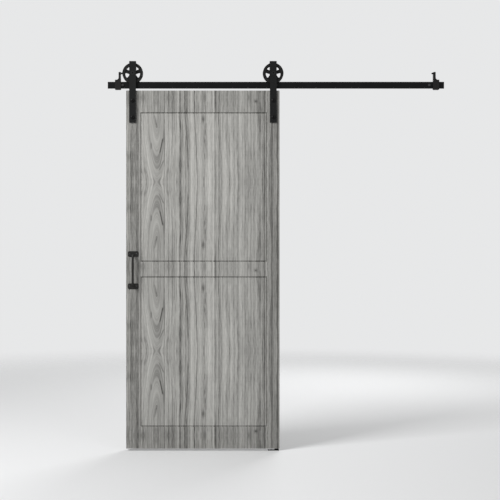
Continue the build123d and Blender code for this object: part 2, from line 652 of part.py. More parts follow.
def stop_bumper(face, out):
    """Rubber nose that meets both wheel flanges, on a stem pressed into the stop."""
    root = Plane((face, MID_Y, AXLE_Z), x_dir=(0, 1, 0), z_dir=(-out, 0, 0))
    wide = 2 * (RIM_HALF - BUMPER_INSIDE_RIM)
    nose = loft([
        root * RectangleRounded(wide, BUMPER_H, BUMPER_ROUND),
        root.offset(BUMPER_REACH) * RectangleRounded(
            wide - BUMPER_TAPER, BUMPER_H - 2 * BUMPER_TAPER, BUMPER_ROUND
        ),
    ])
    stem = Rot(0, 90, 0) * Cylinder(BUMPER_STEM_R, BUMPER_STEM_L)
    return nose + Pos(face + out * BUMPER_STEM_L / 2, MID_Y, AXLE_Z) * stem


def set_screw(face, out, a):
    """Socket set screw that bears on the rail from below."""
    x = face + out * a
    z0 = -RAIL_H / 2 - STOP_LIP + SET_SCREW_SUNK
    pin = post(SET_SCREW_R, x, MID_Y, z0, -RAIL_H / 2)
    return pin - Pos(x, MID_Y, z0) * hex_prism(SET_SOCKET_AF, SET_SOCKET_D)


def floor_guide():
    """T guide screwed to the floor; its fin stands in the slot of the door."""
    base = block(
        GUIDE_LEFT, GUIDE_RIGHT, DOOR_MID_Y - GUIDE_BASE_W / 2, DOOR_MID_Y + GUIDE_BASE_W / 2,
        FLOOR_Z, GUIDE_BASE_Z,
    )
    base = fillet(base.edges().filter_by(Axis.Z), GUIDE_BASE_R)
    fin = block(
        GUIDE_FIN_X - GUIDE_FIN_L / 2, GUIDE_FIN_X + GUIDE_FIN_L / 2,
        DOOR_MID_Y - GUIDE_FIN_T / 2, DOOR_MID_Y + GUIDE_FIN_T / 2,
        FLOOR_Z, DOOR_BOTTOM + GUIDE_IN_SLOT,
    )
    fin = fillet(fin.edges().filter_by(Axis.Z), GUIDE_FIN_ROUND)
    guide = base + chamfer(fin.faces().sort_by(Axis.Z)[-1].edges(), GUIDE_FIN_CHAMFER)
    hole = GUIDE_SCREW_R + GUIDE_SCREW_CLEAR
    depth = GUIDE_SCREW_HEAD_R - GUIDE_SCREW_R
    for x in GUIDE_SCREW_XS:
        guide -= post(hole, x, DOOR_MID_Y, FLOOR_Z - OVERCUT, GUIDE_BASE_Z + OVERCUT)
        sink = Cone(hole, hole + depth, depth)
        guide -= Pos(x, DOOR_MID_Y, GUIDE_BASE_Z - depth / 2) * sink
    return guide


def guide_screw(x):
    """Flush countersunk screw down into the floor."""
    depth = GUIDE_SCREW_HEAD_R - GUIDE_SCREW_R
    end = GUIDE_BASE_Z - GUIDE_SCREW_L
    head = Pos(x, DOOR_MID_Y, GUIDE_BASE_Z - depth / 2) * Cone(GUIDE_SCREW_R, GUIDE_SCREW_HEAD_R, depth)
    shank = post(GUIDE_SCREW_R, x, DOOR_MID_Y, FLOOR_Z, GUIDE_BASE_Z - depth / 2)
    thread = post(GUIDE_THREAD_R, x, DOOR_MID_Y, end + SCREW_POINT_L, FLOOR_Z)
    tip = Cone(GUIDE_SCREW_R / 8, GUIDE_THREAD_R, SCREW_POINT_L)
    screw = head + shank + thread + Pos(x, DOOR_MID_Y, end + SCREW_POINT_L / 2) * tip
    return screw - Pos(x, DOOR_MID_Y, GUIDE_BASE_Z) * cross_recess(CROSS_L, CROSS_W, CROSS_W)


def save(name, *shapes):
    shape = shapes[0] if len(shapes) == 1 else Compound(children=list(shapes))
    export_step(shape, "parts/" + name + ".step")


save("track_rail", track_rail())
for name, x in zip(("left", "middle", "right"), FIXING_XS):
    save("standoff_" + name, standoff(x))
save("lag_washers", *[lag_washer(x) for x in FIXING_XS])
save("lag_screws", *[lag_screw(x) for x in FIXING_XS])

STOPS = (("left", STOP_FACE_LEFT, -1), ("right", STOP_FACE_RIGHT, 1))
for name, face, out in STOPS:
    save("stop_body_" + name, stop_body(face, out))
    save("stop_bumper_" + name, stop_bumper(face, out))
save("stop_set_screws", *[set_screw(face, out, a) for _, face, out in STOPS for a in SET_SCREW_AT])

save("floor_guide", floor_guide())
save("floor_guide_screws", *[guide_screw(x) for x in GUIDE_SCREW_XS])

save("door_slab", door_slab())
save("handle", handle())
save("handle_screws", *[handle_screw(x, z) for x in HANDLE_SCREW_XS for z in HANDLE_PLATE_ZS])
save("strap_bolts", *[strap_bolt(x, z) for x in HANGER_XS for z in BOLT_ZS])
save("strap_nuts", *[strap_nut(x, z) for x in HANGER_XS for z in BOLT_ZS])
save("axle_bolts", *[axle_bolt(x) for x in HANGER_XS])
save("axle_nuts", *[axle_nut(x) for x in HANGER_XS])
for name, x in zip(("left", "right"), HANGER_XS):
    front_spacer = axle_spacer(x, DOOR_FRONT, MID_Y - BEARING_W / 2)
    rear_spacer = axle_spacer(x, MID_Y + BEARING_W / 2, REAR_LEG)
    save("hanger_strap_" + name, hanger_strap(x))
    save("axle_spacers_" + name, front_spacer, rear_spacer)
    save("bearing_inner_" + name, ring_with_track(INNER_RING_R, AXLE_R + AXLE_FIT, x))
    save("bearing_outer_" + name, ring_with_track(BEARING_R, OUTER_RING_BORE, x))
    save("bearing_balls_" + name, *bearing_balls(x))
    save("bearing_cage_" + name, bearing_cage(x))
    save("bearing_shields_" + name, bearing_shield(x, -1), bearing_shield(x, 1))
    save("circlip_" + name, circlip(x))
    save("wheel_" + name, wheel(x))
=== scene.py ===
import math

import bpy
import numpy as np
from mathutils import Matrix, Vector


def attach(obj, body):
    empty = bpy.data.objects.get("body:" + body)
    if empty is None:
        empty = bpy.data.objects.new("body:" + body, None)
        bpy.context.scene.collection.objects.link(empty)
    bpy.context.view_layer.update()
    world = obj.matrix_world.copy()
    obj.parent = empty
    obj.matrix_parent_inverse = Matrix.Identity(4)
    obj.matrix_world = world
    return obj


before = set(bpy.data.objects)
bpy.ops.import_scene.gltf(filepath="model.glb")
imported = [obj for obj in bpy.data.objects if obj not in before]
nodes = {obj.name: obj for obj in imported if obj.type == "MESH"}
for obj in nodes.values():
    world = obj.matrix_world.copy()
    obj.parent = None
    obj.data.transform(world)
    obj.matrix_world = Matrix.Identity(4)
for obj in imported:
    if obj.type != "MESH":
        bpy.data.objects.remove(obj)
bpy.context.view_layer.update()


# The place the door stands in: a plain pale floor at the foot of the leaf and a soft even studio.
# The lens looks squarely at the middle of the leaf from 5.6 m and is shifted to take in the rail.

DOOR_FACE_Y = -0.0475
VIEW_X = -0.45
VIEW_Z = -1.07
VIEW_DISTANCE = 5.602
LENS_MM = 67.7
SENSOR_MM = 36
LENS_SHIFT = (0.0990, 0.0289)
PALE = (0.80, 0.805, 0.81)
FLOOR_Z = -2.1795
FLOOR_RADIUS = 9.0
FLOOR_FADE = (2.9, 7.5)

camera = bpy.data.objects.new("camera", bpy.data.cameras.new("camera"))
camera.location = (VIEW_X, DOOR_FACE_Y - VIEW_DISTANCE, VIEW_Z)
camera.rotation_euler = (math.radians(90), 0, 0)
camera.data.lens = LENS_MM
camera.data.sensor_width = SENSOR_MM
camera.data.shift_x, camera.data.shift_y = LENS_SHIFT
bpy.context.collection.objects.link(camera)
bpy.context.scene.camera = camera
bpy.context.scene.view_settings.view_transform = "Standard"


def soft_lamp(name, place, towards, side, watts):
    """A square softbox that looks from its place at a point."""
    lamp = bpy.data.objects.new(name, bpy.data.lights.new(name, "AREA"))
    lamp.data.shape = "SQUARE"
    lamp.data.size = side
    lamp.data.energy = watts
    lamp.location = place
    lamp.rotation_euler = (Vector(towards) - Vector(place)).to_track_quat("-Z", "Y").to_euler()
    bpy.context.collection.objects.link(lamp)


soft_lamp("key_lamp", (-3.7, -2.6, 2.3), (-0.3, 0, -0.9), side=1.9, watts=225)
soft_lamp("fill_lamp", (2.6, -4.4, 0.2), (-0.2, 0, -1.0), side=2.4, watts=26)
soft_lamp("back_lamp", (1.4, 4.2, 1.0), (-0.3, 0, -1.0), side=2.4, watts=110)


def plain_world():
    """Pale to the camera and in reflections, and a weaker even light on everything else."""
    world = bpy.data.worlds.new("studio")
    bpy.context.scene.world = world
    world.use_nodes = True
    tree = world.node_tree
    lit = tree.nodes["Background"]
    lit.inputs["Color"].default_value = (1, 1, 1, 1)
    lit.inputs["Strength"].default_value = 0.35
    seen = tree.nodes.new("ShaderNodeBackground")
    seen.inputs["Color"].default_value = (*PALE, 1)
    rays = tree.nodes.new("ShaderNodeLightPath")
    seeing = rays.outputs["Is Camera Ray"]
    for ray in ("Is Glossy Ray", "Is Transmission Ray"):
        either = tree.nodes.new("ShaderNodeMath")
        either.operation = "MAXIMUM"
        tree.links.new(seeing, either.inputs[0])
        tree.links.new(rays.outputs[ray], either.inputs[1])
        seeing = either.outputs[0]
    mix = tree.nodes.new("ShaderNodeMixShader")
    tree.links.new(seeing, mix.inputs["Fac"])
    tree.links.new(lit.outputs[0], mix.inputs[1])
    tree.links.new(seen.outputs[0], mix.inputs[2])
    tree.links.new(mix.outputs[0], tree.nodes["World Output"].inputs["Surface"])


plain_world()


def pale_floor():
    """A round floor that fades out into the pale backdrop, so no horizon shows."""
    sides = 96
    turn = np.linspace(0, 2 * np.pi, sides + 1)[:-1]
    rim = np.column_stack(
        [FLOOR_RADIUS * np.cos(turn), FLOOR_RADIUS * np.sin(turn), np.full(sides, FLOOR_Z)]
    )
    mesh = bpy.data.meshes.new("floor")
    mesh.from_pydata(rim, [], [list(range(sides))])
    floor = bpy.data.objects.new("floor", mesh)
    bpy.context.collection.objects.link(floor)
    material = bpy.data.materials.new("pale_floor")
    material.use_nodes = True
    tree = material.node_tree
    shader = tree.nodes["Principled BSDF"]
    shader.inputs["Base Color"].default_value = (*PALE, 1)
    shader.inputs["Roughness"].default_value = 0.9
    shader.inputs["Specular IOR Level"].default_value = 0.2
    place = tree.nodes.new("ShaderNodeTexCoord")
    far = tree.nodes.new("ShaderNodeVectorMath")
    far.operation = "LENGTH"
    tree.links.new(place.outputs["Object"], far.inputs[0])
    fade = tree.nodes.new("ShaderNodeMapRange")
    fade.interpolation_type = "SMOOTHSTEP"
    fade.inputs["From Min"].default_value, fade.inputs["From Max"].default_value = FLOOR_FADE
    tree.links.new(far.outputs["Value"], fade.inputs["Value"])
    clear = tree.nodes.new("ShaderNodeBsdfTransparent")
    mix = tree.nodes.new("ShaderNodeMixShader")
    tree.links.new(fade.outputs[0], mix.inputs["Fac"])
    tree.links.new(shader.outputs[0], mix.inputs[1])
    tree.links.new(clear.outputs[0], mix.inputs[2])
    tree.links.new(mix.outputs[0], tree.nodes["Material Output"].inputs["Surface"])
    mesh.materials.append(material)


pale_floor()


# The rail: a hot-rolled flat bar 2 m long, drilled for three fixings and powder coated a fine matt
# black. Three turned tubes with the same coat hold it 32 mm off the wall, and the wheels have
# rubbed a narrow satin line along its top.

RAIL_MID_Y = -0.035
RAIL_DARK = (0.0020, 0.0022, 0.0024)
RAIL_PALE = (0.012, 0.0125, 0.013)
DUST_AND_TOP_LIGHT = (0.085, 0.083, 0.078)
RUBBED_STEEL = (0.16, 0.16, 0.165)


class Tone:
    """A number that a material works out at each point. Arithmetic on it adds Math nodes."""

    def __init__(self, tree, socket):
        self.tree = tree
        self.socket = socket

    def math(self, operation, *others):
        node = self.tree.nodes.new("ShaderNodeMath")
        node.operation = operation
        for slot, value in zip(node.inputs, (self, *others)):
            if isinstance(value, Tone):
                self.tree.links.new(value.socket, slot)
            else:
                slot.default_value = value
        return Tone(self.tree, node.outputs[0])

    def __add__(self, other):
        return self.math("ADD", other)

    def __sub__(self, other):
        return self.math("SUBTRACT", other)

    def __mul__(self, other):
        return self.math("MULTIPLY", other)

    def __rsub__(self, other):
        return self.math("MULTIPLY_ADD", -1.0, other)

    __radd__ = __add__

    def size(self):
        return self.math("ABSOLUTE")

    def top(self, other):
        return self.math("MAXIMUM", other)

    def least(self, other):
        return self.math("MINIMUM", other)

    def power(self, other):
        return self.math("POWER", other)

    def step(self, low, high):
        """Rises smoothly from 0 at low to 1 at high."""
        node = self.tree.nodes.new("ShaderNodeMapRange")
        node.interpolation_type = "SMOOTHSTEP"
        node.inputs["From Min"].default_value = low
        node.inputs["From Max"].default_value = high
        self.tree.links.new(self.socket, node.inputs["Value"])
        return Tone(self.tree, node.outputs[0])

    def between(self, low, high, soft):
        """1 from low to high, falling to 0 within soft on both sides."""
        return self.step(low - soft, low) * (1.0 - self.step(high, high + soft))

    def towards(self, other, share):
        """This number where share is 0, the other one where share is 1."""
        return self + (other - self) * share

    def ridge(self, place, half):
        """1 at a place, falling to 0 at half on both sides of it."""
        return ((self - place).size() * (-1.0 / half) + 1.0).top(0.0)


class Finish:
    """A named finish: a Principled material whose colour, gloss and relief are built from Tones."""

    def __init__(self, name, metallic=0.0, specular=0.5):
        self.material = bpy.data.materials.new(name)
        self.material.use_nodes = True
        self.tree = self.material.node_tree
        self.shader = self.tree.nodes["Principled BSDF"]
        self.shader.inputs["Metallic"].default_value = metallic
        self.shader.inputs["Specular IOR Level"].default_value = specular
        self.place = self.tree.nodes.new("ShaderNodeTexCoord").outputs["Object"]
        self.x, self.y, self.z = self.split(self.place)
        facing = self.tree.nodes.new("ShaderNodeNewGeometry").outputs["Normal"]
        self.nx, self.ny, self.nz = self.split(facing)

    def split(self, vector):
        node = self.tree.nodes.new("ShaderNodeSeparateXYZ")
        self.tree.links.new(vector, node.inputs[0])
        return [Tone(self.tree, s) for s in node.outputs]

    def at(self, x, y, z):
        """A point to read a noise at, from three numbers or Tones."""
        node = self.tree.nodes.new("ShaderNodeCombineXYZ")
        for slot, value in zip(node.inputs, (x, y, z)):
            if isinstance(value, Tone):
                self.tree.links.new(value.socket, slot)
            else:
                slot.default_value = value
        return node.outputs[0]

    def noise(self, place=None, scale=1.0, detail=2.0, rough=0.5):
        node = self.tree.nodes.new("ShaderNodeTexNoise")
        node.inputs["Scale"].default_value = scale
        node.inputs["Detail"].default_value = detail
        node.inputs["Roughness"].default_value = rough
        self.tree.links.new(place or self.place, node.inputs["Vector"])
        return Tone(self.tree, node.outputs["Fac"])

    def arris(self):
        """0 on a face square to an axis, up to 1 on the chamfers and rounds between such faces."""
        squarest = self.nx.size().top(self.ny.size()).top(self.nz.size())
        return (squarest * -3.4 + 3.4).least(1.0)

    def colour(self, share, low, high):
        """Mixes two colours by a Tone from 0 to 1."""
        node = self.tree.nodes.new("ShaderNodeMix")
        node.data_type = "RGBA"
        node.inputs["A"].default_value = (*low, 1)
        node.inputs["B"].default_value = (*high, 1)
        self.tree.links.new(share.socket, node.inputs["Factor"])
        self.tree.links.new(node.outputs["Result"], self.shader.inputs["Base Color"])
        return node

    def over(self, below, share, paint):
        """Lays a third colour over the first two where share is 1."""
        node = self.tree.nodes.new("ShaderNodeMix")
        node.data_type = "RGBA"
        node.inputs["B"].default_value = (*paint, 1)
        self.tree.links.new(below.outputs["Result"], node.inputs["A"])
        self.tree.links.new(share.socket, node.inputs["Factor"])
        self.tree.links.new(node.outputs["Result"], self.shader.inputs["Base Color"])
        return node

    def gloss(self, roughness):
        self.tree.links.new(roughness.socket, self.shader.inputs["Roughness"])

    def relief(self, height, depth):
        """Bumps the surface by a Tone, with depth in metres."""
        node = self.tree.nodes.new("ShaderNodeBump")
        node.inputs["Distance"].default_value = depth
        self.tree.links.new(height.socket, node.inputs["Height"])
        self.tree.links.new(node.outputs["Normal"], self.shader.inputs["Normal"])

    def on(self, *names):
        """Gives this finish to carried-over pieces."""
        for name in names:
            for slot in nodes[name].material_slots:
                slot.material = self.material


def powder_coat(name, dark, pale, specular=0.08, rough=0.44, dust_and_top_light_share=0.7, bare=None):
    """Baked powder: slight orange peel, cloudy gloss, thinner, paler arrises, and pale dust on top
    faces that also stands in as painted light falling on tops.

    The dust share is how much dust and painted top light lies on what faces up. bare, called
    with the finish, gives the Tone of where the coat is rubbed to satin steel.
    """
    coat = Finish(name, specular=specular)
    peel = coat.noise(scale=900, detail=1.5)
    cloud = coat.noise(scale=14, detail=3)
    # Pale dust on what faces up: partly real dust, partly a painted highlight of light from above.
    dust_and_top_light = coat.nz.step(0.35, 1.0) * coat.noise(scale=60, detail=4, rough=0.7).step(0.20, 0.75)
    thin = coat.arris() * coat.noise(scale=240, detail=2).step(0.40, 0.72)
    paint = coat.colour((cloud * 0.5 + peel * 0.25 + thin * 0.7).least(1.0), dark, pale)
    paint = coat.over(paint, (dust_and_top_light * dust_and_top_light_share).least(0.9), DUST_AND_TOP_LIGHT)
    roughness = cloud * 0.14 + peel * 0.10 + rough
    if bare:
        rubbed = bare(coat)
        coat.over(paint, rubbed, RUBBED_STEEL)
        roughness = roughness - rubbed * 0.14
    coat.gloss(roughness)
    coat.relief(peel, 0.00003)
    return coat


def wheel_line(coat):
    """Where the treads run: the middle 3 mm of the rail's top, broken up along its length."""
    on_top = coat.nz.step(0.9, 0.98) * (1.0 - (coat.y - RAIL_MID_Y).size().step(0.0009, 0.0019))
    broken = coat.noise(coat.at(coat.x * 26.0, coat.y * 900.0, 0.0), detail=3).step(0.40, 0.62)
    return on_top * broken * 0.8


powder_coat("rail_powder", RAIL_DARK, RAIL_PALE, bare=wheel_line).on("track_rail")
powder_coat("standoff_powder", RAIL_DARK, RAIL_PALE).on(
    "standoff_left", "standoff_middle", "standoff_right"
)


# Lag screws: three cold-headed hexagon screws in black oxide, each with a washer, driven through
# the rail and its standoff into the framing. Only the part in the wall is threaded.

LAG_XS = (-0.914, 0.0, 0.914)
LAG_CORE = 0.0037
LAG_CREST = 0.0042
LAG_PITCH = 0.0036
LAG_THREAD = (0.0015, 0.0585)
LAG_POINT_FROM = 0.052
LAG_END = 0.060
OXIDE_DARK = (0.0035, 0.0035, 0.0040)
OXIDE_PALE = (0.020, 0.019, 0.018)


def black_oxide(name, rough=0.30, specular=0.40, depth=1.0):
    """Oiled oxide on machined steel: near black, brown where it is thin. Both colours are divided
    by the depth argument, which paints a darker copy as painted shade.
    """
    skin = Finish(name, specular=specular)
    cloud = skin.noise(scale=90, detail=3)
    fine = skin.noise(scale=1500, detail=1)
    dark, pale = (tuple(part / depth for part in shade) for shade in (OXIDE_DARK, OXIDE_PALE))
    skin.colour((cloud * 0.6 + skin.arris() * fine * 0.8).least(1.0), dark, pale)
    skin.gloss(cloud * 0.16 + rough)
    skin.relief(fine, 0.00001)
    return skin


def thread_ridges(name, starts, along, core, crest, pitch, run, point_from, end, flank=0.30):
    """Helical ridges wound on screw cores, all in one mesh.

    A point on a ridge has two parameters: the turn t along the helix and the corner of a closed
    four-sided section. Its distance along the axis is the run's start + pitch x t + the corner's
    share of the base. Its radius is the core's radius there, which falls to nothing from point_from
    to the end, plus the ridge's height at the two upper corners, which grows and dies over the
    first and last half turn. The two lower corners lie a little inside the core.
    """
    steps_a_turn = 28
    turns = (run[1] - run[0]) / pitch
    t = np.linspace(0, turns, int(turns * steps_a_turn) + 1)
    base = pitch * flank
    share = np.array([-0.5, -0.12, 0.12, 0.5])
    high = np.array([-0.15, 1.0, 1.0, -0.15])
    deep = run[0] + pitch * t[:, None] + base * share[None, :]
    taper = np.clip((end - deep) / (end - point_from), 0.05, 1.0)
    fade = np.clip(np.minimum(t, turns - t) * 2, 0.02, 1.0)[:, None]
    radius = core * taper + (crest - core) * high[None, :] * fade * np.clip(taper + 0.3, 0, 1)
    angle = 2 * np.pi * t[:, None]
    side = np.cross(along, (1.0, 0.0, 0.0) if abs(along[0]) < 0.5 else (0.0, 0.0, 1.0))
    other = np.cross(along, side)
    ridge = (
        deep[..., None] * np.array(along)
        + (radius * np.cos(angle))[..., None] * side
        + (radius * np.sin(angle))[..., None] * other
    ).reshape(-1, 3)
    rings = len(t)
    i = np.arange(rings - 1)[:, None] * 4
    k = np.arange(4)[None, :]
    after = (k + 1) % 4
    around = np.stack([i + k, i + after, i + 4 + after, i + 4 + k], axis=-1).reshape(-1, 4)
    caps = np.array([[3, 2, 1, 0], [0, 1, 2, 3]]) + np.array([[0], [4 * (rings - 1)]])
    faces = np.concatenate([around, caps])
    points = np.concatenate([ridge + np.array(start) for start in starts])
    faces = np.concatenate([faces + n * len(ridge) for n in range(len(starts))])
    mesh = bpy.data.meshes.new(name)
    mesh.from_pydata(points, [], faces.tolist())
    corners = points[faces]
    volume = sum(
        np.einsum("ij,ij->", corners[:, 0], np.cross(corners[:, n], corners[:, n + 1]))
        for n in (1, 2)
    )
    if volume < 0:
        mesh.flip_normals()
    piece = bpy.data.objects.new(name, mesh)
    bpy.context.collection.objects.link(piece)
    return piece


screw_oxide = black_oxide("lag_oxide")
screw_oxide.on("lag_screws", "lag_washers")
lag_threads = thread_ridges(
    "lag_threads", [(x, 0.0, 0.0) for x in LAG_XS], (0.0, 1.0, 0.0),
    LAG_CORE, LAG_CREST, LAG_PITCH, LAG_THREAD, LAG_POINT_FROM, LAG_END,
)
lag_threads.data.materials.append(screw_oxide.material)
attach(lag_threads, "track")


# End stops: a steel block that slides on to each end of the rail, with an upright that carries a
# moulded rubber nose at axle height. Two socket set screws under each one grip the rail.

STOP_DARK = (0.0050, 0.0050, 0.0052)
STOP_PALE = (0.022, 0.0215, 0.021)
RUBBER_DARK = (0.0050, 0.0050, 0.0050)
RUBBER_BLOOM = (0.022, 0.0215, 0.021)

powder_coat("stop_powder", STOP_DARK, STOP_PALE, specular=0.12).on(
    "stop_body_left", "stop_body_right"
)
black_oxide("set_screw_oxide").on("stop_set_screws")


def moulded_rubber(name):
    """Carbon-black rubber: matt, with a fine moulded skin and a grey bloom."""
    skin = Finish(name, specular=0.16)
    bloom = skin.noise(scale=70, detail=4, rough=0.65)
    grain = skin.noise(scale=2200, detail=1)
    skin.colour(bloom * 0.8, RUBBER_DARK, RUBBER_BLOOM)
    skin.gloss(bloom * 0.12 + 0.66)
    skin.relief(grain, 0.00003)
    return skin


moulded_rubber("stop_rubber").on("stop_bumper_left", "stop_bumper_right")


# Floor guide: a coated steel T screwed to the floor under the leaf, its fin standing in the slot of
# the bottom edge. Two zinc-plated countersunk screws hold it down.

GUIDE_SCREWS = ((-0.0365, -0.030), (-0.0165, -0.030))
GUIDE_TOP = -2.1765
GUIDE_CORE = 0.00195
GUIDE_CREST = 0.0023
GUIDE_PITCH = 0.0018
GUIDE_THREAD = (0.0040, 0.0270)
GUIDE_POINT_FROM = 0.023
GUIDE_END = 0.028
GUIDE_PALE = (0.024, 0.024, 0.0235)
ZINC_DARK = (0.42, 0.43, 0.44)
ZINC_PALE = (0.62, 0.63, 0.64)

powder_coat("guide_powder", STOP_DARK, GUIDE_PALE).on("floor_guide")


def bright_steel(name, dark, pale, rough, turned=0.0):
    """Bare or plated steel, with faint rings left by turning where turned is above 0."""
    steel = Finish(name, metallic=1.0)
    cloud = steel.noise(scale=220, detail=3)
    rings = steel.noise(steel.at(0.0, steel.y * 6000.0, 0.0), detail=1)
    steel.colour((cloud * 0.8 + rings * turned).least(1.0), dark, pale)
    steel.gloss(cloud * 0.15 + rough)
    steel.relief(rings * turned + cloud * 0.2, 0.00001)
    return steel


zinc = bright_steel("zinc", ZINC_DARK, ZINC_PALE, rough=0.28)
zinc.on("floor_guide_screws")
guide_threads = thread_ridges(
    "guide_threads", [(x, y, GUIDE_TOP) for x, y in GUIDE_SCREWS], (0.0, 0.0, -1.0),
    GUIDE_CORE, GUIDE_CREST, GUIDE_PITCH, GUIDE_THREAD, GUIDE_POINT_FROM, GUIDE_END,
)
guide_threads.data.materials.append(zinc.material)
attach(guide_threads, "track")


# The slab: a 35 mm fibreboard leaf with its two panels routed into both faces, wrapped in a printed
# grey oak film. The print runs up the leaf and turns back on itself every half metre, as films do.
# Slot and bolt holes are cut afterwards and show the bare board.

SLAB_MID_Y = -0.030
SLAB_LEFT = -0.8925
SLAB_RIGHT = 0.0215
SLAB_FOOT = -2.1675
PANELS_LEFT = -0.8080
PANELS_RIGHT = -0.0510
TOP_RAIL_FOOT = -0.1625
FOOT_RAIL_TOP = -2.0385
MID_RAIL_Z = (-1.1405, -1.0555)
SEAM_HALF = 0.0015
SLOT_HALF = 0.00365
SLOT_TOP = -2.1451
AXLE_XS = (-0.8545, -0.0165)
BOLT_HOLE_R = 0.0063
BOLT_HOLES_Z = (-0.201, -0.086)
OAK_DARK = (0.070, 0.0685, 0.063)
OAK_PALE = (0.56, 0.553, 0.525)
BARE_BOARD = (0.30, 0.205, 0.120)

REPEAT = 0.5035
REPEAT_FOOT = -2.089
FLAME_X = -0.709
HEART_DEPTH = 0.062
HEART_RISE = 0.160
SADDLE_RING = 0.0635
KNOT_X = -0.432
KNOT_UP = 0.128
LONE_KNOT_X = -0.122
LONE_KNOTS_Z = (-0.098, -1.1055, -2.063)

# Bands, streaks that run the whole height and streaks that drift: place across the leaf, half
# width and change of tone.
BANDS = (
    (-0.775, 0.030, -0.06), (-0.690, 0.040, -0.08), (-0.640, 0.020, -0.10), (-0.560, 0.040, -0.10),
    (-0.503, 0.022, 0.30), (-0.395, 0.026, 0.24), (-0.330, 0.030, -0.12), (-0.280, 0.030, 0.06),
    (-0.205, 0.040, 0.12), (-0.110, 0.045, -0.14), (-0.070, 0.022, -0.14),
)
STREAKS = (
    (-0.880, 0.004, -0.16), (-0.853, 0.004, -0.16), (-0.821, 0.004, -0.20), (-0.812, 0.003, 0.14),
    (-0.664, 0.005, -0.36), (-0.616, 0.004, -0.32), (-0.569, 0.0045, -0.36), (-0.372, 0.005, 0.24),
    (-0.3605, 0.004, -0.38), (-0.339, 0.004, -0.30), (-0.316, 0.003, -0.14),
    (-0.2755, 0.004, -0.30), (-0.187, 0.004, -0.12), (-0.067, 0.004, -0.26),
    (-0.0435, 0.004, 0.20), (-0.026, 0.005, -0.20), (0.007, 0.004, -0.26),
)
DRIFTING = ((-0.518, 0.005, -0.34), (-0.465, 0.005, -0.36))

# Short strokes in the flame and along the line of knots: place across the leaf, distance from the
# mirror line, lean, half length and change of tone.
STROKES = (
    (-0.682, 0.216, 0.203, 0.032, -0.50), (-0.682, 0.098, 0.457, 0.020, -0.34),
    (-0.715, 0.360, -0.190, 0.026, -0.26), (-0.7425, 0.215, 0.0, 0.008, -0.30),
    (-0.4200, 0.290, 0.10, 0.050, -0.18), (-0.4160, 0.200, -0.08, 0.050, -0.20),
    (-0.4215, 0.296, 0.10, 0.006, -0.22), (-0.4215, 0.153, -0.08, 0.008, -0.22),
    (-0.4280, 0.010, 0.0, 0.012, -0.26),
)

# Hairlines: how many a metre, where they lie in their noise, half width there and change of tone.
HAIRLINES = ((46.0, 0.0, 0.030, 0.18), (75.0, -0.03, 0.026, 0.17), (110.0, 0.02, 0.03, 0.12))


def nearer_axle(skin):
    """How far a point is from the nearer axle, sideways."""
    return (skin.x - AXLE_XS[0]).size().least((skin.x - AXLE_XS[1]).size())


